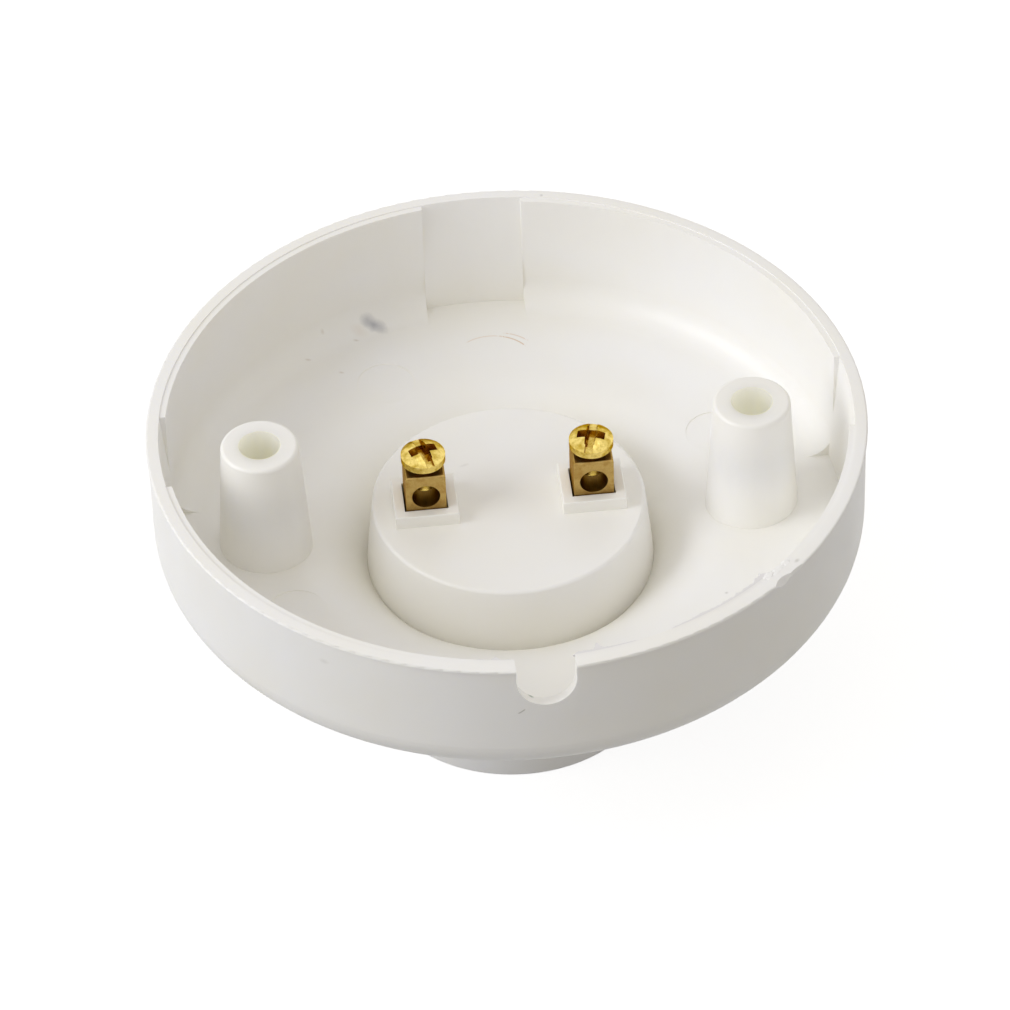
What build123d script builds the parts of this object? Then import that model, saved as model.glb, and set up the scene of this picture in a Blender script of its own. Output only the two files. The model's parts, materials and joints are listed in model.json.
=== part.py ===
from build123d import *
import os
from math import cos, radians, sin, sqrt, tan

# Batten lamp holder for a two-pin bayonet lamp. Millimetres, +Z up, open fixing side up.
# The origin is the centre of the barrel's mouth. +Y is opposite the cable notch,
# and the fixing pillars and the terminals lie along X.

# Base: wall, floor and rim
total_height = 36.6
rim_radius = 37.0
rim_lip = 0.15
rim_lip_height = 0.45
rim_round = 0.2
rim_step_width = 0.66
rim_step_height = 0.12
wall_thickness = 1.75
floor_thickness = 1.75
floor_slope = 1.5
floor_depth = 13.65
floor_corner_radius = 3.0
underside_slope = 8.0
underside_depth = 14.42
shoulder_radius = 4.0
well_curve_radius = 10.5

# Chips out of the rim's outer edge: angle, radius of the hollow and how far it bites in.
# A hollow's centre lies above the rim by this share of its radius.
rim_chips = [(-47.6, 2.4, 0.6), (-44.9, 5.0, 0.4)]
chip_lift = 0.25

# Barrel and the bayonet grooves inside its mouth
flare_radius = 8.2
bore_radius = 11.35
bore_depth = 11.8
chamber_step = 0.2
mouth_round = 0.3
groove_depth = 2.45
groove_width = 2.5
groove_skin = 1.15
pin_rest_height = 7.0
pin_return = 1.3
pin_rest_angle = 90.0
pin_turn_angle = 25.0

# Pedestal, the closed inner end of the barrel
pedestal_depth = 10.87
pedestal_inset = 0.75
pedestal_draft = 5.8
pedestal_round = 0.4
web_thickness = 2.2

# Fixing pillars
fixing_centres = 50.8
fixing_hole_radius = 2.1
pillar_radius = 4.0
pillar_draft = 3.4
pillar_below_rim = 0.4
pillar_round = 0.4
countersink_radius = 4.0
countersink_angle = 90.0
countersink_land = 0.2

# Round marks that the ejector pins left on the floor
ejector_mark_radius = 3.1
ejector_mark_depth = 0.06
ejector_mark_angles = [25, 115, 205, 295]

# Knock-out panels in the wall, and the cable notch
panel_width = 10.6
panel_skin = 1.15
panel_foot_inset = 0.4
panel_foot_step = 0.35
notch_radius = 3.0
notch_depth = 4.6
notch_slant = 22.0

# Terminals and the collars round them
block_edge_gap = 0.17
block_width = 4.15
block_length = 4.2
block_above_collar = 4.42
block_round = 0.22
opening_clearance_x = 0.18
opening_clearance_y = 0.08
collar_wall_x = 1.04
collar_wall_y = 0.97
collar_height = 1.45
collar_round = 0.12
wire_hole_radius = 1.45
wire_hole_below_top = 2.65
foot_thickness = 1.6
foot_length = 5.6
foot_overhang = 0.25
foot_clearance = 0.12

# Terminal screws
screw_radius = 1.2
thread_clearance = 0.05
screw_tip_gap = 0.05
screw_chamfer = 0.25
head_radius = 2.3
head_edge = 0.75
head_dome = 0.75
head_gap = 0.7
slot_width = 0.85
slot_depth = 0.8
cross_width = 1.15
cross_length = 3.0
cross_depth = 1.3
cross_draft = 12.0
slot_angles = {"left": -74.0, "right": -104.0}

# Plungers, their tubes and springs
plunger_offset = 5.8
tube_wall = 0.6
guide_shoulder = 0.35
guide_length = 1.1
running_clearance = 0.05
nose_radius = 1.5
nose_length = 5.7
nose_round = 0.9
pocket_wall = 0.4
pocket_depth = 5.2
spring_clearance = 0.1
spring_wire = 0.3
spring_turns = 6

# Contact plate and its screw
plate_thickness = 2.4
plate_below_web = 5.83
plate_clearance = 0.1
plate_chamfer = 0.3
plate_hole_clearance = 0.1
boss_radius = 2.7
pilot_tip_gap = 0.8
plate_screw_radius = 1.2
plate_screw_reach = 4.2
plate_head_radius = 2.1
plate_head_height = 1.3

# Heights and radii that follow from the sizes above
rim_z = total_height
wall_radius = rim_radius - rim_lip
inner_radius = wall_radius - wall_thickness
slope_rise = tan(radians(floor_slope))
slope_secant = 1 / cos(radians(floor_slope))
underside_rise = tan(radians(underside_slope))
pedestal_z = rim_z - pedestal_depth
web_under_z = pedestal_z - web_thickness
groove_radius = bore_radius + groove_depth
barrel_radius = groove_radius + groove_skin
pedestal_radius = barrel_radius - pedestal_inset
pin_turn_height = pin_rest_height + pin_return
panel_foot_radius = inner_radius - panel_foot_inset
pillar_z = rim_z - pillar_below_rim
collar_top_z = pedestal_z + collar_height
opening_width = block_width + 2 * opening_clearance_x
opening_length = block_length + 2 * opening_clearance_y
chamber_radius = bore_radius - chamber_step
block_corner_radius = chamber_radius - block_edge_gap
terminal_offset = sqrt(block_corner_radius**2 - (block_length / 2) ** 2) - block_width / 2
plate_top_z = web_under_z - plate_below_web
plate_under_z = plate_top_z - plate_thickness
foot_under_z = web_under_z - foot_thickness
block_top_z = collar_top_z + block_above_collar
wire_hole_z = block_top_z - wire_hole_below_top
head_under_z = block_top_z + head_gap
guide_radius = nose_radius + guide_shoulder
tube_bore = guide_radius + running_clearance
tube_radius = tube_bore + tube_wall
pocket_radius = nose_radius - pocket_wall
spring_radius = pocket_radius - spring_clearance
pilot_depth = plate_screw_reach + pilot_tip_gap
guide_top_z = plate_top_z + guide_length
pocket_z = guide_top_z - pocket_depth


def floor_z(radius):
    """Height of the sloping floor at this radius."""
    return rim_z - floor_depth - (inner_radius - radius) * slope_rise


def underside_z(radius):
    """Height of the sloping underside at this radius."""
    return rim_z - underside_depth - (inner_radius - radius) * underside_rise


def meridian(angle):
    """Plane through the Z axis: local x points outwards at this angle, local y up."""
    turn = radians(angle)
    return Plane(origin=(0, 0, 0), x_dir=(cos(turn), sin(turn), 0), z_dir=(sin(turn), -cos(turn), 0))


def facing(angle):
    """Plane through the Z axis that faces outwards at this angle, local y up."""
    turn = radians(angle)
    return Plane(origin=(0, 0, 0), x_dir=(-sin(turn), cos(turn), 0), z_dir=(cos(turn), sin(turn), 0))


def on_floor(angle):
    """Plane on the sloping floor, square to it, on the fixing holes' circle."""
    turn = radians(angle)
    radius = fixing_centres / 2
    return Plane(
        origin=(radius * cos(turn), radius * sin(turn), floor_z(radius)),
        z_dir=(-slope_rise * cos(turn), -slope_rise * sin(turn), 1),
    )


# The round surfaces start and end at this angle, where the moulding has no other feature
seam_angle = 60

fixing_places = [(-fixing_centres / 2, 0), (fixing_centres / 2, 0)]
terminal_places = [(-terminal_offset, 0), (terminal_offset, 0)]

# The floor curves down beside the pedestal, above the flare of the underside
well_radius = barrel_radius - floor_thickness
well_centre_z = floor_z(well_radius + well_curve_radius) - well_curve_radius * slope_secant
well_z = well_centre_z - floor_thickness

# Pillar, drafted and rounded at the top. It runs on below the floor, because it
# only keeps material when the hollow is cut.
with BuildPart() as pillar:
    with BuildSketch(Plane.XY.offset(pillar_z)):
        Circle(pillar_radius)
    extrude(amount=well_z - pillar_z, taper=-pillar_draft)
    fillet(pillar.edges().sort_by(Axis.Z)[-1], pillar_round)

# Collar round a terminal, standing on the pedestal
with BuildPart() as collar:
    with BuildSketch(Plane.XY.offset(web_under_z)):
        Rectangle(opening_width + 2 * collar_wall_x, opening_length + 2 * collar_wall_y)
    extrude(amount=collar_top_z - web_under_z)
    fillet(collar.edges().group_by(Axis.Z)[-1], collar_round)


def panel_ring(*outline):
    """Ring with this outline, cut down to a knock-out panel's width on the +X side."""
    with BuildPart() as ring:
        with BuildSketch(meridian(180)):
            with BuildLine():
                Polyline(*outline, close=True)
            make_face()
        revolve(axis=Axis.Z)
        lengths = (2 * rim_radius, panel_width, total_height)
        Box(*lengths, align=(Align.MIN, Align.CENTER, Align.MIN), mode=Mode.INTERSECT)
    return ring.part


# Knock-out panel: thinned at the rim, and standing proud of the wall at the floor,
# whose corner is left out in front of it
panel_top = (wall_radius - panel_skin, rim_z)
panel_foot = (panel_foot_radius, floor_z(panel_foot_radius) + panel_foot_step)
panel_front_radius = inner_radius - floor_corner_radius
panel_skin_part = panel_ring(
    panel_top,
    panel_foot,
    (panel_foot_radius, well_z),
    (rim_radius, well_z),
    (rim_radius, rim_z),
)
panel_gap = panel_ring(
    panel_top,
    panel_foot,
    (panel_foot_radius, floor_z(panel_foot_radius)),
    (panel_front_radius, floor_z(panel_front_radius)),
    (panel_front_radius, rim_z),
)
panel_places = [Location((0, 0, 0), (0, 0, direction)) for direction in (0, 90, 180)]

# Hollow of the base: all that is open above the floor, round the pedestal
with BuildPart() as hollow:
    with BuildSketch(meridian(seam_angle)):
        with BuildLine():
            FilletPolyline(
                (well_radius, well_z),
                (well_radius, floor_z(well_radius)),
                (inner_radius, floor_z(inner_radius)),
                (inner_radius, rim_z - rim_step_height),
                radius=[well_curve_radius, floor_corner_radius],
            )
            Polyline(
                (inner_radius, rim_z - rim_step_height),
                (inner_radius + rim_step_width, rim_z - rim_step_height),
                (inner_radius + rim_step_width, rim_z),
                (0, rim_z),
                (0, well_z),
                (well_radius, well_z),
            )
        make_face()
        pedestal_foot_radius = pedestal_radius + (pedestal_z - well_z) * tan(radians(pedestal_draft))
        with BuildLine():
            FilletPolyline(
                (pedestal_foot_radius, well_z),
                (pedestal_radius, pedestal_z),
                (0, pedestal_z),
                radius=pedestal_round,
            )
            Polyline((0, pedestal_z), (0, well_z), (pedestal_foot_radius, well_z))
        make_face(mode=Mode.SUBTRACT)
    revolve(axis=Axis.Z)
    with Locations(*panel_places):
        add(panel_skin_part, mode=Mode.SUBTRACT)
        add(panel_gap)
    with Locations(*fixing_places):
        add(pillar.part, mode=Mode.SUBTRACT)
    with Locations(*terminal_places):
        add(collar.part, mode=Mode.SUBTRACT)

# One bayonet groove: straight in, a turn, and a short way back to where the pin rests
with BuildPart() as groove:
    entry_angle = pin_rest_angle - pin_turn_angle
    with BuildSketch(facing(entry_angle)):
        with Locations((0, pin_turn_height)):
            Circle(groove_width / 2)
            Rectangle(groove_width, pin_turn_height, align=(Align.CENTER, Align.MAX))
    extrude(amount=groove_radius)
    with BuildSketch(facing(pin_rest_angle)):
        with Locations((0, pin_turn_height)):
            Circle(groove_width / 2)
            Rectangle(groove_width, pin_turn_height - pin_rest_height, align=(Align.CENTER, Align.MAX))
        with Locations((0, pin_rest_height)):
            Circle(groove_width / 2)
    extrude(amount=groove_radius)
    with BuildSketch(meridian(entry_angle)):
        with Locations((0, pin_turn_height)):
            Rectangle(groove_radius, groove_width, align=(Align.MIN, Align.CENTER))
    revolve(axis=Axis.Z, revolution_arc=pin_turn_angle)

# Body: base, barrel and pedestal in one moulding
with BuildPart() as body:
    with BuildSketch(meridian(seam_angle)):
        with BuildLine():
            FilletPolyline(
                (barrel_radius, 0),
                (barrel_radius, underside_z(barrel_radius)),
                (wall_radius, underside_z(wall_radius)),
                (wall_radius, rim_z - rim_lip_height),
                radius=[flare_radius, shoulder_radius],
            )
            Polyline(
                (wall_radius, rim_z - rim_lip_height),
                (rim_radius, rim_z - rim_lip_height + rim_lip),
                (rim_radius, rim_z),
                (0, rim_z),
                (0, 0),
                (barrel_radius, 0),
            )
        make_face()
    revolve(axis=Axis.Z)
    fillet(body.edges().sort_by(Axis.Z)[-1], rim_round)
    fillet(body.edges().sort_by(Axis.Z)[0], mouth_round)
    add(hollow.part, mode=Mode.SUBTRACT)
    with Locations(*[on_floor(angle) for angle in ejector_mark_angles]):
        Cylinder(ejector_mark_radius, 2 * ejector_mark_depth, mode=Mode.SUBTRACT)
    for angle, chip_radius, bite in rim_chips:
        reach = rim_radius - bite + chip_radius
        turn = radians(angle)
        with Locations((reach * cos(turn), reach * sin(turn), rim_z + chip_lift * chip_radius)):
            Sphere(chip_radius, mode=Mode.SUBTRACT)
    # Socket for the lamp cap, and the narrower chamber for the contacts above it
    with BuildSketch(Plane.XY):
        Circle(bore_radius)
    extrude(amount=bore_depth, mode=Mode.SUBTRACT)
    with BuildSketch(Plane.XY.offset(bore_depth)):
        Circle(chamber_radius)
    extrude(amount=web_under_z - bore_depth, mode=Mode.SUBTRACT)
    with PolarLocations(0, 2):
        add(groove.part, mode=Mode.SUBTRACT)
    # Boss for the contact plate's screw
    with BuildSketch(Plane.XY.offset(plate_top_z)):
        Circle(boss_radius)
    extrude(amount=web_under_z - plate_top_z)
    with BuildSketch(Plane.XY.offset(plate_top_z)):
        Circle(plate_screw_radius + thread_clearance)
    extrude(amount=pilot_depth, mode=Mode.SUBTRACT)
    # Openings through the web and the collars
    with BuildSketch(Plane.XY.offset(web_under_z)):
        with Locations(*terminal_places):
            Rectangle(opening_width, opening_length)
    extrude(amount=collar_top_z - web_under_z, mode=Mode.SUBTRACT)
    # Fixing holes, countersunk from the underside
    sink_z = underside_z(fixing_centres / 2 + countersink_radius) + countersink_land
    sink_planes = [Plane(origin=(x, y, sink_z), z_dir=(0, 0, -1)) for x, y in fixing_places]
    with Locations(*sink_planes):
        CounterSinkHole(fixing_hole_radius, countersink_radius, total_height, countersink_angle)
    # Cable notch, round-bottomed and slanting down inwards
    slant = radians(notch_slant)
    notch_plane = Plane(
        origin=(0, -wall_radius, rim_z - notch_depth + notch_radius),
        x_dir=(1, 0, 0),
        z_dir=(0, -cos(slant), sin(slant)),
    )
    with BuildSketch(notch_plane):
        Circle(notch_radius)
        Rectangle(2 * notch_radius, notch_depth, align=(Align.CENTER, Align.MIN))
    extrude(amount=2 * wall_thickness, both=True, mode=Mode.SUBTRACT)

# Right terminal: clamping block, a foot that bears on the web, and the plunger's tube
with BuildPart() as terminal:
    with BuildSketch(Plane.XY.offset(foot_under_z)):
        with Locations((terminal_offset, 0)):
            Rectangle(block_width, block_length)
    extrude(amount=block_top_z - foot_under_z)
    fillet(terminal.edges().group_by(Axis.Z)[-1], block_round)
    foot_end_x = terminal_offset + block_width / 2 + foot_overhang
    with BuildSketch(Plane.XY.offset(foot_under_z)):
        with Locations((plunger_offset, 0)):
            Circle(tube_radius)
            Rectangle(foot_end_x - plunger_offset, foot_length, align=(Align.MIN, Align.CENTER))
        Circle(chamber_radius - foot_clearance, mode=Mode.INTERSECT)
    extrude(amount=foot_thickness)
    with BuildSketch(Plane.XY.offset(plate_top_z)):
        with Locations((plunger_offset, 0)):
            Circle(tube_radius)
            Circle(tube_bore, mode=Mode.SUBTRACT)
    extrude(amount=foot_under_z - plate_top_z)
    # Wire hole across the block, and the tapped hole down into it
    with BuildSketch(Plane.XZ):
        with Locations((terminal_offset, wire_hole_z)):
            Circle(wire_hole_radius)
    extrude(amount=block_length, both=True, mode=Mode.SUBTRACT)
    with BuildSketch(Plane.XY.offset(wire_hole_z)):
        with Locations((terminal_offset, 0)):
            Circle(screw_radius + thread_clearance)
    extrude(amount=block_top_z - wire_hole_z, mode=Mode.SUBTRACT)


def terminal_screw(x, slot_angle):
    """Clamping screw: domed head with a full slot and a deeper cross."""
    tip_z = wire_hole_z + wire_hole_radius + screw_tip_gap
    edge_z = head_under_z + head_edge
    top_z = edge_z + head_dome
    dome_radius = (head_radius**2 + head_dome**2) / (2 * head_dome)
    with BuildPart() as screw:
        with BuildSketch(Plane.XZ.move(Location((x, 0, 0)))):
            with BuildLine():
                Polyline(
                    (0, top_z),
                    (0, tip_z),
                    (screw_radius - screw_chamfer, tip_z),
                    (screw_radius, tip_z + screw_chamfer),
                    (screw_radius, head_under_z),
                    (head_radius, head_under_z),
                    (head_radius, edge_z),
                )
                RadiusArc((head_radius, edge_z), (0, top_z), -dome_radius)
            make_face()
        revolve(axis=Axis((x, 0, 0), (0, 0, 1)))
        with BuildSketch(Plane.XY.offset(top_z)):
            with Locations(Location((x, 0, 0), (0, 0, slot_angle))):
                Rectangle(2 * head_radius, slot_width)
        extrude(amount=-slot_depth, mode=Mode.SUBTRACT)
        with BuildSketch(Plane.XY.offset(top_z)):
            with Locations(Location((x, 0, 0), (0, 0, slot_angle))):
                Rectangle(cross_length, cross_width)
                Rectangle(cross_width, cross_length)
        extrude(amount=-cross_depth, taper=cross_draft, mode=Mode.SUBTRACT)
    return screw.part


# Right plunger: guide that slides in the tube, nose through the plate, pocket for the spring
with BuildPart() as plunger:
    with BuildSketch(Plane.XY.offset(plate_top_z)):
        with Locations((plunger_offset, 0)):
            Circle(guide_radius)
    extrude(amount=guide_length)
    with BuildSketch(Plane.XY.offset(plate_top_z)):
        with Locations((plunger_offset, 0)):
            Circle(nose_radius)
    extrude(amount=-nose_length)
    fillet(plunger.edges().sort_by(Axis.Z)[0], nose_round)
    with BuildSketch(Plane.XY.offset(guide_top_z)):
        with Locations((plunger_offset, 0)):
            Circle(pocket_radius)
    extrude(amount=-pocket_depth, mode=Mode.SUBTRACT)

# Right spring, from the plunger's pocket to the closed end of the tube
with BuildPart() as spring:
    coil_radius = spring_radius - spring_wire / 2
    coil_start = Vector(plunger_offset, 0, pocket_z + spring_wire / 2)
    coil_height = foot_under_z - pocket_z - spring_wire
    with BuildLine(Plane(origin=coil_start)) as coil:
        Helix(pitch=coil_height / spring_turns, height=coil_height, radius=coil_radius)
    with BuildSketch(Plane(origin=coil.line @ 0, z_dir=coil.line % 0)):
        Circle(spring_wire / 2)
    sweep(path=coil.line)

# Contact plate: closes the chamber and guides the plungers' noses
with BuildPart() as contact_plate:
    with BuildSketch(Plane.XY.offset(plate_under_z)):
        Circle(chamber_radius - plate_clearance)
        with Locations((-plunger_offset, 0), (plunger_offset, 0)):
            Circle(nose_radius + plate_hole_clearance, mode=Mode.SUBTRACT)
        Circle(plate_screw_radius + plate_hole_clearance, mode=Mode.SUBTRACT)
    extrude(amount=plate_thickness)
    chamfer(contact_plate.edges().group_by(Axis.Z)[0].sort_by(SortBy.RADIUS)[-1], plate_chamfer)

# Screw that holds the contact plate to the boss
with BuildPart() as contact_plate_screw:
    with BuildSketch(Plane.XY.offset(plate_under_z)):
        Circle(plate_screw_radius)
    extrude(amount=plate_thickness + plate_screw_reach)
    chamfer(contact_plate_screw.edges().sort_by(Axis.Z)[-1], screw_chamfer)
    with BuildSketch(Plane.XY.offset(plate_under_z)):
        Circle(plate_head_radius)
    extrude(amount=-plate_head_height)
    fillet(contact_plate_screw.edges().sort_by(Axis.Z)[0], plate_head_height / 3)
    with BuildSketch(Plane.XY.offset(plate_under_z - plate_head_height)):
        Rectangle(2 * plate_head_radius, slot_width)
    extrude(amount=plate_head_height / 2, mode=Mode.SUBTRACT)

os.makedirs("parts", exist_ok=True)


def write(piece, name):
    """Label a finished piece and write its STEP file."""
    piece.label = name
    export_step(piece, f"parts/{name}.step")


write(body.part, "body")
write(contact_plate.part, "contact_plate")
write(contact_plate_screw.part, "contact_plate_screw")

# The left pieces are the right ones turned half round the barrel's axis
for side, turn in (("right", 0), ("left", 180)):
    write(terminal.part.rotate(Axis.Z, turn), f"terminal_{side}")
    write(plunger.part.rotate(Axis.Z, turn), f"plunger_{side}")
    write(spring.part.rotate(Axis.Z, turn), f"plunger_spring_{side}")
write(terminal_screw(-terminal_offset, slot_angles["left"]), "terminal_screw_left")
write(terminal_screw(terminal_offset, slot_angles["right"]), "terminal_screw_right")
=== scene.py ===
import bmesh
import bpy
import json
from math import cos, pi, radians, sin, sqrt
from mathutils import Matrix, Vector, noise


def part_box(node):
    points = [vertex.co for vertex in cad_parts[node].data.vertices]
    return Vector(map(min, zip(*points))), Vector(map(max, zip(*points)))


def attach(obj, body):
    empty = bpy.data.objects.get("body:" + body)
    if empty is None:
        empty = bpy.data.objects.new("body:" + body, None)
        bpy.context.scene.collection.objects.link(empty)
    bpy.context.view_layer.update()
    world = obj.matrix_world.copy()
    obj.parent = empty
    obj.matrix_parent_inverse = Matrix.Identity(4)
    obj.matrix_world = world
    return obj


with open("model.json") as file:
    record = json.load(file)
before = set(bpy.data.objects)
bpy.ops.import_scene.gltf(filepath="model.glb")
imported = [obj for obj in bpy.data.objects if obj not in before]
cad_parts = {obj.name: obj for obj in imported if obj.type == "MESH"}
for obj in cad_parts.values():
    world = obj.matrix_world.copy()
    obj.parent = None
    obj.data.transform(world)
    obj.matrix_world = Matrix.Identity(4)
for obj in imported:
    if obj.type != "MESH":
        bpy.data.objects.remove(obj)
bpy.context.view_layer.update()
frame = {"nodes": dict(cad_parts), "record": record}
nodes = frame["nodes"]

MM = 0.001
RIM_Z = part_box("body")[1][2]
SIDES = ("left", "right")

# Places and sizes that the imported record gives: the fixing holes' in mm, the wire holes' in metres
MOUNTS = {mount["name"]: mount for mount in frame["record"]["mounts"]}
FIXING_X = MOUNTS["fixing_holes"]["dims"]["spacing_x_mm"] / 2
FIXING_RADIUS = MOUNTS["fixing_holes"]["dims"]["hole_r_mm"]
WIRE_HOLES = {side: Vector(MOUNTS[f"wire_hole_{side}"]["pos_m"]) for side in SIDES}
WIRE_HOLE_RADIUS = MOUNTS["wire_hole_left"]["dims"]["r_mm"] * MM

# How much light goes into the moulding and into the pillars, and how far it scatters there
TRANSLUCENCE = 0.15
PILLAR_TRANSLUCENCE = 0.6
SCATTER = 1.6 * MM
PILLAR_SCATTER = 14.0 * MM
SCATTER_TINT = (1.0, 0.95, 0.72)

# Ripples and grain of the moulding, and the size of its warmer clouds
RIPPLE_SIZE = 5 * MM
RIPPLE_HEIGHT = 0.12 * MM
GRAIN_SIZE = 1.2 * MM
GRAIN_HEIGHT = 0.03 * MM
CLOUD_SIZE = 14 * MM

# Painted shade in the body's recesses, a deeper yellower white: its depth there, and the middle
# and half height in mm of the stretch that has it, which ends below the rim's edge
RECESS_SIZE = 7 * MM
RECESS_PAINTED_SHADE = 0.65
RECESS_MIDDLE_Z = 20
RECESS_HALF_HEIGHT = 15

# Stretches of the pillars and their holes that get a finish of their own, in mm; the holes get a painted
# glow
PILLAR_MIDDLE_Z = 30
PILLAR_HALF = (5.2, 5.2, 9.0)
HOLE_FADE = 0.13
HOLE_HALF_HEIGHT = 60

# Half size in mm that takes in the whole object
WHOLE = 1000

# Radii inside the rim, at the wiring space's wall and at the step in the rim's edge
RIM_INNER_RADIUS = 35.1 * MM
RIM_STEP_RADIUS = 35.76 * MM

# Threads at the terminal screws' tips
THREAD_RADIUS = 1.18 * MM
THREAD_DEPTH = 0.2 * MM
THREAD_PITCH = 0.45 * MM

# The tips are domed, so that they clear the wire hole's wall when a screw is at its lowest
TIP_DOME_RADIUS = 1.38 * MM
TIP_BELOW_HOLE_CENTRE = 0.64 * MM
SCREW_DOWN = 0.7 * MM

# Flash under the rim's edge: its place and height, how far it reaches into the wall, and the
# slant of its inner edge
LIP_BELOW_RIM = 0.13 * MM
LIP_HEIGHT = 0.22 * MM
LIP_IN_WALL = 0.1 * MM
LIP_SLANT_IN = 0.05 * MM
LIP_SLANT_DOWN = 0.06 * MM

# Crumbled pieces: how deep their middle lies, as a share of their half height, and how far in mm
# they stay below the rim
TORN_DEPTH = 0.9
TORN_BELOW_RIM = 0.02

# Vertices nearer than this are one
MERGE_DISTANCE = 0.0001 * MM

# Camera at the photograph's angle, aimed from the centre of the rim
CAMERA_AZIMUTH = radians(-4.91)
CAMERA_ELEVATION = radians(42.67)
CAMERA_ROLL = radians(-1.86)
CAMERA_DISTANCE = 0.61477
CAMERA_RIGHT = -0.000122
CAMERA_UP = -0.008675
FOCAL_LENGTH = 213.86
SENSOR = 36.0
CLIP_START = 0.01

# Finishes
WHITE = (0.912, 0.913, 0.922, 1)
WHITE_WARM = (0.908, 0.900, 0.875, 1)
# Painted shade laid into the body's recesses
WHITE_PAINTED_SHADE = (0.925, 0.895, 0.79, 1)
# Painted shade: the flash and burrs are greyer, for the rim's shade on them
FLASH_PAINTED_SHADE = (0.80, 0.79, 0.81, 1)
TORN_WHITE = (0.93, 0.93, 0.94, 1)
# Painted glow in the pillars' holes, for light coming through the pillars
HOLE_PAINTED_GLOW = (1.0, 0.975, 0.74, 1)
SMUDGE = (0.20, 0.21, 0.28, 1)
RUST = (0.62, 0.40, 0.22, 1)
SPECK = (0.50, 0.42, 0.33, 1)
GREEN_DARK = (0.16, 0.24, 0.17, 1)
GREY_MARK = (0.55, 0.54, 0.53, 1)
BLOCK_BRASS = (0.55, 0.385, 0.13, 1)
BLOCK_DARK = (0.40, 0.23, 0.06, 1)
BLOCK_SHADE = (0.18, 0.10, 0.03, 1)
# Painted shade inside the wire holes
WIRE_HOLE_PAINTED_SHADE = (0.10, 0.05, 0.010, 1)
METAL_EDGE = (0.55, 0.36, 0.13, 1)
SCREW_BRASS = (0.95, 0.74, 0.24, 1)
SCREW_DEEP = (0.50, 0.33, 0.03, 1)
SCREW_SHADE = (0.40, 0.23, 0.02, 1)
STEEL = (0.60, 0.60, 0.61, 1)
STEEL_DARK = (0.42, 0.42, 0.44, 1)

# Light from all round: its colour, and its level on a white surface
FILL = (1.0, 0.955, 0.88, 1)
FILL_LEVEL = 0.64

# Lamps: places and size in metres, and their levels on a white surface
KEY_PLACE = (-0.75, -0.13, 0.46)
KEY_LEVEL = 0.50
TOP_PLACE = (0.05, 0.10, 0.80)
TOP_LEVEL = 0.05
LAMP_SIZE = 0.60
LAMP_COLOUR = (0.95, 0.97, 1.0)

# Floor: half size in metres, colour for the light on it, and what directly seen rays add to it
FLOOR_REACH = 3.0
FLOOR_GREY = (0.30, 0.30, 0.30, 1)
FLOOR_GLOW = 0.84


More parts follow.
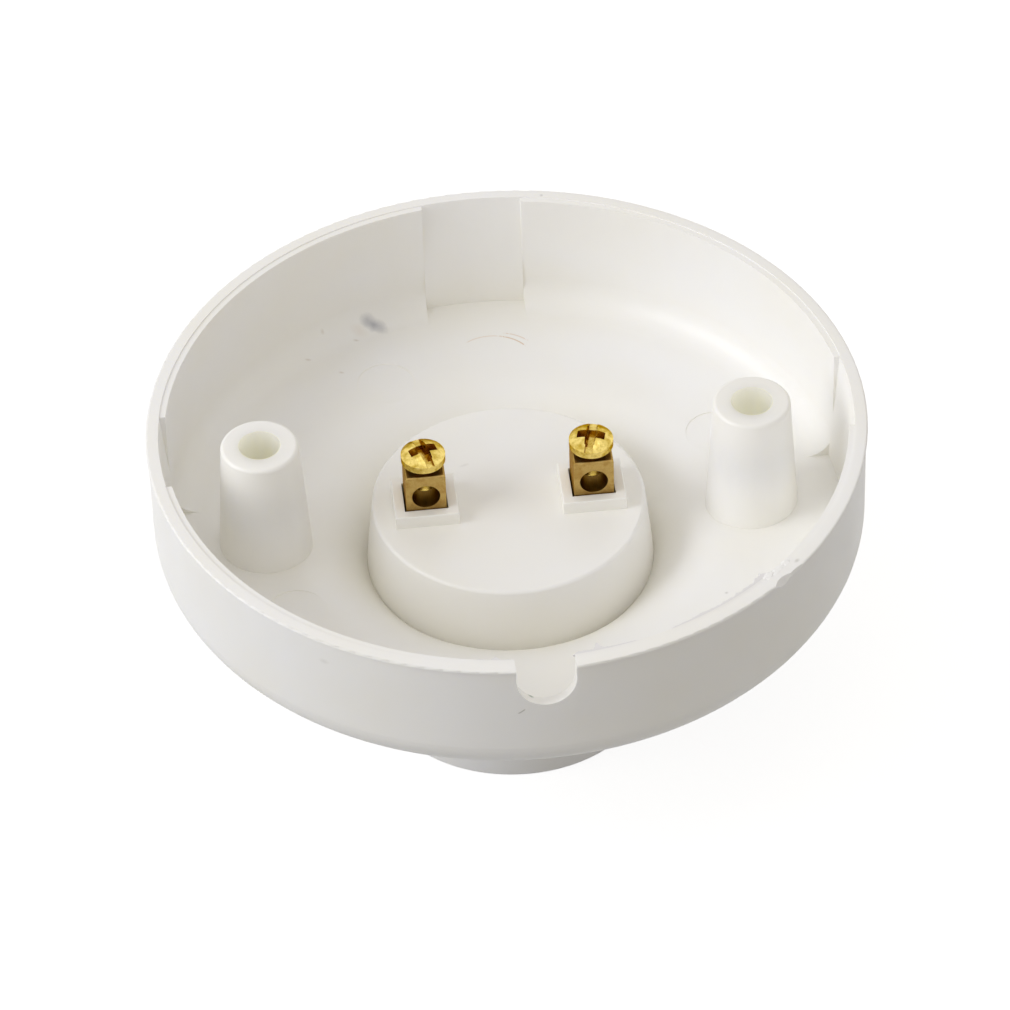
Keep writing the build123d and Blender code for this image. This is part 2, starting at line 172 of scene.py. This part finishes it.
class Shader:
    """A material's node tree, with short ways to add what the finishes here need."""

    def __init__(self, name):
        self.material = bpy.data.materials.new(name)
        self.material.use_nodes = True
        self.tree = self.material.node_tree
        self.bsdf = self.tree.nodes["Principled BSDF"]
        self.coords = self.add("ShaderNodeTexCoord").outputs["Object"]

    def add(self, kind, **settings):
        node = self.tree.nodes.new(kind)
        for key, value in settings.items():
            setattr(node, key, value)
        return node

    def link(self, source, target):
        self.tree.links.new(source, target)

    def place(self, centre=(0, 0, 0), size=(1, 1, 1), turn=0.0):
        """Coordinates measured from a place on the object, in units of this size."""
        mapping = self.add("ShaderNodeMapping", vector_type="TEXTURE")
        mapping.inputs["Location"].default_value = centre
        mapping.inputs["Rotation"].default_value = (0, 0, turn)
        mapping.inputs["Scale"].default_value = size
        self.link(self.coords, mapping.inputs["Vector"])
        return mapping.outputs["Vector"]

    def noise(self, size, detail=3.0, roughness=0.55, where=None):
        """Noise with features of this size in metres."""
        texture = self.add("ShaderNodeTexNoise")
        texture.inputs["Scale"].default_value = 1 / size
        texture.inputs["Detail"].default_value = detail
        texture.inputs["Roughness"].default_value = roughness
        self.link(where or self.coords, texture.inputs["Vector"])
        return texture.outputs["Fac"]

    def ramp(self, value, low, high, to_low=0.0, to_high=1.0):
        """The value between low and high, taken to another range and held at its ends."""
        node = self.add("ShaderNodeMapRange")
        for key, number in (("From Min", low), ("From Max", high), ("To Min", to_low), ("To Max", to_high)):
            node.inputs[key].default_value = number
        self.link(value, node.inputs["Value"])
        return node.outputs["Result"]

    def math(self, operation, a, b):
        node = self.add("ShaderNodeMath", operation=operation)
        for socket, value in zip(node.inputs, (a, b)):
            if isinstance(value, (int, float)):
                socket.default_value = value
            else:
                self.link(value, socket)
        return node.outputs["Value"]

    def mix(self, mask, a, b):
        """Colour a where the mask is 0 and b where it is 1."""
        node = self.add("ShaderNodeMix", data_type="RGBA")
        self.link(mask, node.inputs["Factor"])
        for socket, value in ((node.inputs[6], a), (node.inputs[7], b)):
            if isinstance(value, tuple):
                socket.default_value = value
            else:
                self.link(value, socket)
        return node.outputs[2]

    def bump(self, height, distance, strength=1.0, normal=None):
        node = self.add("ShaderNodeBump")
        node.inputs["Strength"].default_value = strength
        node.inputs["Distance"].default_value = distance
        self.link(height, node.inputs["Height"])
        if normal is not None:
            self.link(normal, node.inputs["Normal"])
        return node.outputs["Normal"]

    def uneven(self, grain, reach):
        """A small uneven amount, from minus to plus this reach, with a grain in metres."""
        return self.ramp(self.noise(grain), 0.3, 0.7, -reach, reach)

    def spot(self, centre, half, turn=0.0, edge=None):
        """Distance from a place in mm as a share of these half sizes, and uneven where an edge
        is given."""
        place = self.place([v * MM for v in centre], [v * MM for v in half], radians(turn))
        distance = self.add("ShaderNodeVectorMath", operation="LENGTH")
        self.link(place, distance.inputs[0])
        if edge is None:
            return distance.outputs["Value"]
        return self.math("ADD", distance.outputs["Value"], edge)

    def inside(self, distance, start, end, strength=1.0):
        """The strength up to the start of a distance, and nothing past its end."""
        return self.ramp(distance, start, end, strength, 0.0)

    def shade(self, reach):
        """1 deep in a recess of this size in metres, 0 on an open face."""
        node = self.add("ShaderNodeAmbientOcclusion", samples=2)
        node.inputs["Distance"].default_value = reach
        return self.ramp(node.outputs["AO"], 0.25, 0.95, 1.0, 0.0)

    def set(self, **sockets):
        """Principled inputs by name, with underscores for spaces."""
        for key, value in sockets.items():
            socket = self.bsdf.inputs[key.replace("_", " ")]
            if isinstance(value, (int, float, tuple)):
                socket.default_value = value
            else:
                self.link(value, socket)


# Marks on the moulding: place in mm, half sizes in mm, turn in degrees, colour, strength
MARKS = [
    ((-11.2, 31.9, 23.6), (1.9, 0.75, 1.3), -25, SMUDGE, 0.62),
    ((-12.9, 31.2, 23.4), (1.1, 0.7, 1.0), -20, RUST, 0.12),
    ((-16.9, 30.4, 23.8), (0.28, 0.25, 1.0), 10, SPECK, 0.55),
    ((-18.7, 27.5, 23.0), (0.40, 0.16, 1.0), 0, SPECK, 0.40),
    ((-15.3, 25.3, 22.8), (0.35, 0.18, 1.0), -20, SPECK, 0.40),
    ((-13.3, 30.1, 22.9), (0.35, 0.15, 1.0), -10, SPECK, 0.40),
    ((20.9, -13.9, 22.7), (0.22, 0.20, 1.0), 0, GREY_MARK, 0.60),
    ((7.6, 35.3, 36.6), (0.22, 0.22, 0.3), 0, GREY_MARK, 0.70),
    ((-4.0, 5.7, 25.7), (0.55, 0.20, 0.5), 20, GREY_MARK, 0.25),
    ((-21.4, -30.0, 33.8), (0.6, 0.6, 0.35), 0, GREY_MARK, 0.25),
    ((-1.5, -35.2, 31.5), (0.35, 0.45, 0.35), 0, GREEN_DARK, 0.85),
    ((25.3, -26.5, 36.2), (2.4, 1.3, 0.9), 44, TORN_WHITE, 0.9),
    ((26.5, -24.7, 36.5), (0.40, 0.25, 0.5), 44, GREY_MARK, 0.80),
]
MARK_GRAIN = 1.0 * MM
MARK_RAGGED = 0.15

# Thin curved scratches, three on the floor and one on the outer wall: centre and radius of the
# curve, place and half sizes of the stretch that shows, all in mm, then colour and strength
SCRATCHES = [
    ((0.9, 24.6, 22.8), 4.5, (0.2, 28.8, 22.8), (2.3, 0.9, 1.0), RUST, 0.30),
    ((0.9, 24.6, 22.8), 4.5, (3.5, 28.0, 22.8), (2.2, 1.2, 1.0), RUST, 0.65),
    ((1.3, 24.6, 22.8), 4.95, (3.7, 28.6, 22.8), (1.8, 1.0, 1.0), RUST, 0.40),
    ((-5.7, -36.8, 34.9), 5.0, (-2.5, -36.8, 31.0), (0.6, 0.6, 0.5), GREY_MARK, 0.9),
]
SCRATCH_WIDTH = 0.11
SCRATCH_GRAIN = 0.35 * MM
SCRATCH_RAGGED = 0.3


def marked(s, colour):
    """The colour with every mark and scratch laid over it."""
    mark_edge = s.uneven(MARK_GRAIN, MARK_RAGGED)
    for centre, half, turn, tint, strength in MARKS:
        mark = s.inside(s.spot(centre, half, turn, mark_edge), 0.1, 1.15, strength)
        colour = s.mix(mark, colour, tint)
    scratch_edge = s.uneven(SCRATCH_GRAIN, SCRATCH_RAGGED)
    for centre, radius, middle, half, tint, strength in SCRATCHES:
        distance = s.spot(centre, (1, 1, 1))
        off_line = s.math("ABSOLUTE", s.math("SUBTRACT", distance, radius), 0)
        line = s.inside(off_line, 0.3 * SCRATCH_WIDTH, SCRATCH_WIDTH, strength)
        stretch = s.inside(s.spot(middle, half, edge=scratch_edge), 0.7, 1.0)
        colour = s.mix(s.math("MULTIPLY", line, stretch), colour, tint)
    return colour


def satin(s, colour, translucence, scatter):
    """Satin moulding with faint ripples and grain."""
    ripple = s.bump(s.noise(RIPPLE_SIZE, detail=2.0), RIPPLE_HEIGHT, 0.5)
    s.set(
        Base_Color=colour,
        Roughness=s.ramp(s.noise(3 * MM), 0.3, 0.7, 0.36, 0.46),
        Normal=s.bump(s.noise(GRAIN_SIZE, detail=4.0), GRAIN_HEIGHT, 0.5, ripple),
        IOR=1.5,
        Subsurface_Weight=translucence,
        Subsurface_Radius=SCATTER_TINT,
        Subsurface_Scale=scatter,
    )
    return s.material


def white_plastic(name, white, translucence=TRANSLUCENCE):
    return satin(Shader(name), white, translucence, SCATTER)


def body_plastic():
    """Moulding of the body, warmer in places, with a deeper white in recesses as painted shade. It
    has the marks that the photograph shows; light comes through the pillars, and their holes have a pale
    yellow painted glow."""
    s = Shader("body_white")
    clouds = s.ramp(s.noise(CLOUD_SIZE, detail=2.0), 0.35, 0.7)
    colour = s.mix(clouds, WHITE, WHITE_WARM)
    height = s.spot((0, 0, RECESS_MIDDLE_Z), (WHOLE, WHOLE, RECESS_HALF_HEIGHT))
    # Painted shade: a deeper, yellower white where ambient occlusion finds a recess
    recess = s.ramp(s.shade(RECESS_SIZE), 0.1, 1.0, 0.0, RECESS_PAINTED_SHADE)
    tint = s.math("MULTIPLY", recess, s.inside(height, 0.9, 1.0))
    colour = marked(s, s.mix(tint, colour, WHITE_PAINTED_SHADE))
    translucence = TRANSLUCENCE
    scatter = SCATTER
    hole_reach = FIXING_RADIUS + HOLE_FADE
    for x in (-FIXING_X, FIXING_X):
        middle = (x, 0, PILLAR_MIDDLE_Z)
        hole = s.inside(s.spot(middle, (hole_reach, hole_reach, HOLE_HALF_HEIGHT)), 0.95, 1.0)
        pillar = s.inside(s.spot(middle, PILLAR_HALF), 0.8, 1.0)
        # Painted light: a pale yellow glow on the hole's walls, for light coming through the pillar
        colour = s.mix(hole, colour, HOLE_PAINTED_GLOW)
        glow = s.math("MAXIMUM", hole, s.math("MULTIPLY", pillar, PILLAR_TRANSLUCENCE))
        translucence = s.math("MAXIMUM", glow, translucence)
        scatter = s.math("MAXIMUM", s.math("MULTIPLY", pillar, PILLAR_SCATTER), scatter)
    return satin(s, colour, translucence, scatter)


def wire_hole_shade_mask(s):
    """1 on the walls of the two wire holes, which run along Y, where their painted shade goes. It reaches
    just past them.
    """
    reach = WIRE_HOLE_RADIUS / MM * 1.02
    total = 0.0
    for place in WIRE_HOLES.values():
        ring = s.spot(place / MM, (reach, WHOLE, reach))
        total = s.math("MAXIMUM", s.inside(ring, 0.97, 1.0), total)
    return total


def brass(name, bright, deep, shade, roughness, grain, holed=False):
    """Machined brass: fine lines along the grain, a darker tone in patches, painted shade in recesses,
    and dark brown painted shade in the wire holes of a piece that has them."""
    s = Shader(name)
    lines = s.noise(1.0, detail=5.0, roughness=0.6, where=s.place(size=[v * MM for v in grain]))
    patches = s.noise(0.9 * MM, detail=3.0)
    tone = s.math("ADD", s.ramp(patches, 0.42, 0.62, 0.0, 0.6), s.ramp(lines, 0.4, 0.7, 0.0, 0.4))
    # Painted shade: the shade colour where ambient occlusion finds a recess
    colour = s.mix(s.shade(1.6 * MM), s.mix(tone, bright, deep), shade)
    # Painted shade: dark brown on the wire holes' walls
    if holed:
        colour = s.mix(wire_hole_shade_mask(s), colour, WIRE_HOLE_PAINTED_SHADE)
    s.set(
        Base_Color=colour,
        Metallic=1.0,
        Specular_Tint=METAL_EDGE,
        Roughness=s.ramp(lines, 0.3, 0.7, roughness, roughness + 0.14),
        Normal=s.bump(lines, 0.012 * MM, 0.5),
    )
    return s.material


def steel(name):
    """Drawn or plated steel with faint lines."""
    s = Shader(name)
    lines = s.noise(0.25 * MM, detail=4.0)
    s.set(
        Base_Color=s.mix(s.ramp(lines, 0.35, 0.65), STEEL, STEEL_DARK),
        Metallic=1.0,
        Roughness=s.ramp(lines, 0.3, 0.7, 0.26, 0.4),
        Normal=s.bump(lines, 0.01 * MM, 0.4),
    )
    return s.material


def dress(material, *names):
    for name in names:
        mesh = nodes[name].data
        mesh.materials.clear()
        mesh.materials.append(material)


def new_piece(name, rings, material, body):
    """A closed mesh that rides on a CAD body: rings of points in metres, joined one to the next
    and closed at both ends."""
    corners = len(rings[0])
    last = (len(rings) - 1) * corners
    faces = [tuple(range(corners)), tuple(range(last, last + corners))]
    for start in range(0, last, corners):
        for corner in range(corners):
            here, after = start + corner, start + (corner + 1) % corners
            faces.append((here, after, after + corners, here + corners))
    mesh = bpy.data.meshes.new(name)
    mesh.from_pydata([point for ring in rings for point in ring], [], faces)
    shape = bmesh.new()
    shape.from_mesh(mesh)
    bmesh.ops.remove_doubles(shape, verts=shape.verts, dist=MERGE_DISTANCE)
    bmesh.ops.recalc_face_normals(shape, faces=shape.faces)
    shape.to_mesh(mesh)
    shape.free()
    mesh.materials.append(material)
    piece = bpy.data.objects.new(name, mesh)
    bpy.context.scene.collection.objects.link(piece)
    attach(piece, body)


def add_thread(side, material):
    """Threaded tip of a terminal screw, which reaches down into the wire hole."""
    columns = 40
    rows_per_turn = 8
    hole = WIRE_HOLES[side]
    low = hole.z - TIP_BELOW_HOLE_CENTRE
    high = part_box(f"terminal_screw_{side}")[0][2] + THREAD_PITCH
    rows = round((high - low) / THREAD_PITCH * rows_per_turn)
    rings = []
    for row in range(rows + 1):
        z = low + (high - low) * row / rows
        below = min(0.0, z - hole.z - SCREW_DOWN)
        dome = sqrt(TIP_DOME_RADIUS**2 - below**2)
        ring = []
        for column in range(columns):
            turn = column / columns
            phase = ((z - low) / THREAD_PITCH - turn) % 1.0
            radius = min(dome, THREAD_RADIUS - THREAD_DEPTH * abs(2 * phase - 1))
            ring.append((hole.x + radius * cos(2 * pi * turn), hole.y + radius * sin(2 * pi * turn), z))
        rings.append(ring)
    new_piece(f"thread_{side}", rings, material, f"terminal_screw_{side}")


def raggedness(degrees):
    """How far a lip stands out at an angle, as a share of its reach."""
    coarse = noise.noise(Vector((1.1 * degrees, 0, 0)))
    fine = noise.noise(Vector((3.7 * degrees, 5, 0)))
    return 1 + 0.45 * coarse + 0.3 * fine


def lip(name, start, end, reach, material):
    """Thin ragged lip of moulding flash inside the rim's edge, between two angles in degrees.
    The reach is how far it stands inwards, at each share of the way along it."""
    steps = 96
    end_slope = 12
    top = RIM_Z - LIP_BELOW_RIM
    low = top - LIP_HEIGHT
    edge = top - LIP_SLANT_DOWN
    outer = RIM_INNER_RADIUS + LIP_IN_WALL
    rings = []
    for step in range(steps + 1):
        share = step / steps
        degrees = start + (end - start) * share
        ends = min(1.0, end_slope * share, end_slope * (1 - share))
        inner = RIM_INNER_RADIUS - reach(share) * raggedness(degrees) * ends
        section = ((inner, low), (inner, edge), (inner + LIP_SLANT_IN, top), (outer, top), (outer, low))
        across, along = cos(radians(degrees)), sin(radians(degrees))
        rings.append([(radius * across, radius * along, z) for radius, z in section])
    new_piece(name, rings, material, "holder")


def reach_with_tips(low, high, *tips):
    """How far a lip stands inwards: from low to high in mm along it, with a tip of this half
    width and height at each share given."""
    def reach(share):
        value = low + (high - low) * share
        for middle, half_width, height in tips:
            value += height * max(0.0, 1 - abs(share - middle) / half_width)
        return value * MM
    return reach


def lumpiness(direction, seed):
    """Size of a crumbled piece in a direction, as a share of its mean size."""
    coarse = noise.noise(2.6 * direction + Vector((seed, 0, 0)))
    fine = noise.noise(7.0 * direction + Vector((seed, 3, 0)))
    return 1 + 0.30 * coarse + 0.12 * fine


def torn_edge(name, angle, inset, length, width, height, material, seed):
    """Crumbled moulding beside a chip of the rim, at this angle in degrees. The inset is its
    distance from the rim's step, and the other sizes are half sizes, all in mm."""
    columns, rows = 28, 14
    rim_z = RIM_Z / MM
    out = Vector((cos(radians(angle)), sin(radians(angle)), 0))
    up = Vector((0, 0, 1))
    along = up.cross(out)
    centre = (RIM_STEP_RADIUS / MM - inset) * out + (rim_z - TORN_DEPTH * height) * up
    rings = []
    for row in range(rows + 1):
        polar = pi * row / rows
        ring = []
        for column in range(columns):
            turn = 2 * pi * column / columns
            direction = Vector((sin(polar) * cos(turn), sin(polar) * sin(turn), cos(polar)))
            x, y, z = lumpiness(direction, seed) * direction
            spot = centre + x * length * along + y * width * out + z * height * up
            spot.z = min(spot.z, rim_z - TORN_BELOW_RIM)
            ring.append(spot * MM)
        rings.append(ring)
    new_piece(name, rings, material, "holder")


def add_rim_damage():
    """Flash and burrs inside the rim's front edge, greyer for painted shade, and crumbled moulding beside
    the chips.
    """
    # Painted shade: the flash and burrs are greyer, for the rim's shade on them
    shaded_flash = white_plastic("flash_painted_shade", FLASH_PAINTED_SHADE, translucence=0.0)
    white = white_plastic("torn_white", TORN_WHITE, translucence=0.0)
    lip("burr_right", -85.4, -74.0, reach_with_tips(0.42, 0.12, (0.39, 0.08, 0.8)), shaded_flash)
    lip("burr_left", -101.5, -95.0, reach_with_tips(0.10, 0.12, (0.55, 0.12, 0.45)), shaded_flash)
    lip("flash_right", -69.0, -47.0, reach_with_tips(0.22, 0.42, (0.3, 0.1, 0.15), (0.9, 0.1, 0.3)), shaded_flash)
    torn_edge("torn_low", -48.4, 0.45, 0.9, 0.50, 0.34, white, 2.0)
    torn_edge("torn_middle", -46.3, 0.25, 1.1, 0.50, 0.30, white, 6.0)
    torn_edge("torn_high", -44.4, 0.30, 0.7, 0.45, 0.26, white, 9.0)


def add_materials():
    dress(body_plastic(), "body")
    dress(white_plastic("plate_white", WHITE), "contact_plate")
    block = brass("block_brass", BLOCK_BRASS, BLOCK_DARK, BLOCK_SHADE, 0.30, (0.12, 1.5, 0.12), holed=True)
    screw = brass("screw_brass", SCREW_BRASS, SCREW_DEEP, SCREW_SHADE, 0.12, (0.5, 0.5, 0.5))
    thread = brass("thread_brass", SCREW_BRASS, SCREW_DEEP, SCREW_DEEP, 0.22, (0.5, 0.5, 0.5))
    plunger = brass("plunger_brass", SCREW_BRASS, BLOCK_BRASS, BLOCK_SHADE, 0.24, (0.8, 0.8, 0.1))
    for side in SIDES:
        dress(block, f"terminal_{side}")
        dress(screw, f"terminal_screw_{side}")
        dress(plunger, f"plunger_{side}")
        add_thread(side, thread)
    dress(steel("spring_steel"), "plunger_spring_left", "plunger_spring_right", "contact_plate_screw")


def add_camera():
    back = Vector((
        sin(CAMERA_AZIMUTH) * cos(CAMERA_ELEVATION),
        -cos(CAMERA_AZIMUTH) * cos(CAMERA_ELEVATION),
        sin(CAMERA_ELEVATION),
    ))
    level = Vector((cos(CAMERA_AZIMUTH), sin(CAMERA_AZIMUTH), 0))
    right = Matrix.Rotation(CAMERA_ROLL, 3, back) @ level
    up = back.cross(right)
    place = Vector((0, 0, RIM_Z)) + back * CAMERA_DISTANCE + right * CAMERA_RIGHT + up * CAMERA_UP
    camera = bpy.data.objects.new("camera", bpy.data.cameras.new("camera"))
    camera.data.lens = FOCAL_LENGTH
    camera.data.sensor_width = SENSOR
    camera.data.clip_start = CLIP_START
    camera.matrix_world = Matrix.Translation(place) @ Matrix((right, up, back)).transposed().to_4x4()
    bpy.context.scene.collection.objects.link(camera)
    bpy.context.scene.camera = camera


def area_light(name, place, level):
    """Disc lamp aimed at the object; the level is what it gives a white surface that faces it."""
    aim = Vector((0, 0, RIM_Z)) - Vector(place)
    light = bpy.data.lights.new(name, "AREA")
    light.shape = "DISK"
    light.size = LAMP_SIZE
    light.energy = level * pi**2 * aim.length_squared
    light.color = LAMP_COLOUR
    lamp = bpy.data.objects.new(name, light)
    lamp.location = place
    lamp.rotation_euler = aim.to_track_quat("-Z", "Y").to_euler()
    bpy.context.scene.collection.objects.link(lamp)


def seen_directly(tree):
    """1 for rays from the camera, off gloss or through glass, and 0 for light on the object."""
    rays = tree.nodes.new("ShaderNodeLightPath")
    total = rays.outputs["Is Camera Ray"]
    for name in ("Is Glossy Ray", "Is Transmission Ray"):
        larger = tree.nodes.new("ShaderNodeMath")
        larger.operation = "MAXIMUM"
        tree.links.new(total, larger.inputs[0])
        tree.links.new(rays.outputs[name], larger.inputs[1])
        total = larger.outputs["Value"]
    return total


def add_lights():
    """Two lamps, and a world that lights the object evenly and looks white."""
    area_light("key", KEY_PLACE, KEY_LEVEL)
    area_light("top", TOP_PLACE, TOP_LEVEL)
    world = bpy.data.worlds.new("studio")
    bpy.context.scene.world = world
    world.use_nodes = True
    tree = world.node_tree
    fill = tree.nodes["Background"]
    fill.inputs["Color"].default_value = FILL
    fill.inputs["Strength"].default_value = FILL_LEVEL
    white = tree.nodes.new("ShaderNodeBackground")
    white.inputs["Color"].default_value = (1, 1, 1, 1)
    white.inputs["Strength"].default_value = 1.0
    either = tree.nodes.new("ShaderNodeMixShader")
    tree.links.new(seen_directly(tree), either.inputs["Fac"])
    tree.links.new(fill.outputs["Background"], either.inputs[1])
    tree.links.new(white.outputs["Background"], either.inputs[2])
    tree.links.new(either.outputs["Shader"], tree.nodes["World Output"].inputs["Surface"])


def add_floor():
    """Floor that keeps the object's shadow and is otherwise as white as the world."""
    mesh = bpy.data.meshes.new("floor")
    far = FLOOR_REACH
    mesh.from_pydata([(-far, -far, 0), (far, -far, 0), (far, far, 0), (-far, far, 0)], [], [(0, 1, 2, 3)])
    floor = bpy.data.objects.new("floor", mesh)
    bpy.context.scene.collection.objects.link(floor)
    s = Shader("floor_white")
    s.set(
        Base_Color=FLOOR_GREY,
        Roughness=0.9,
        Specular_IOR_Level=0.0,
        Emission_Color=(1, 1, 1, 1),
        Emission_Strength=s.ramp(seen_directly(s.tree), 0, 1, 0.0, FLOOR_GLOW),
    )
    mesh.materials.append(s.material)


add_camera()
add_rim_damage()
add_materials()
add_lights()
add_floor()
bpy.context.scene.view_settings.view_transform = "Standard"
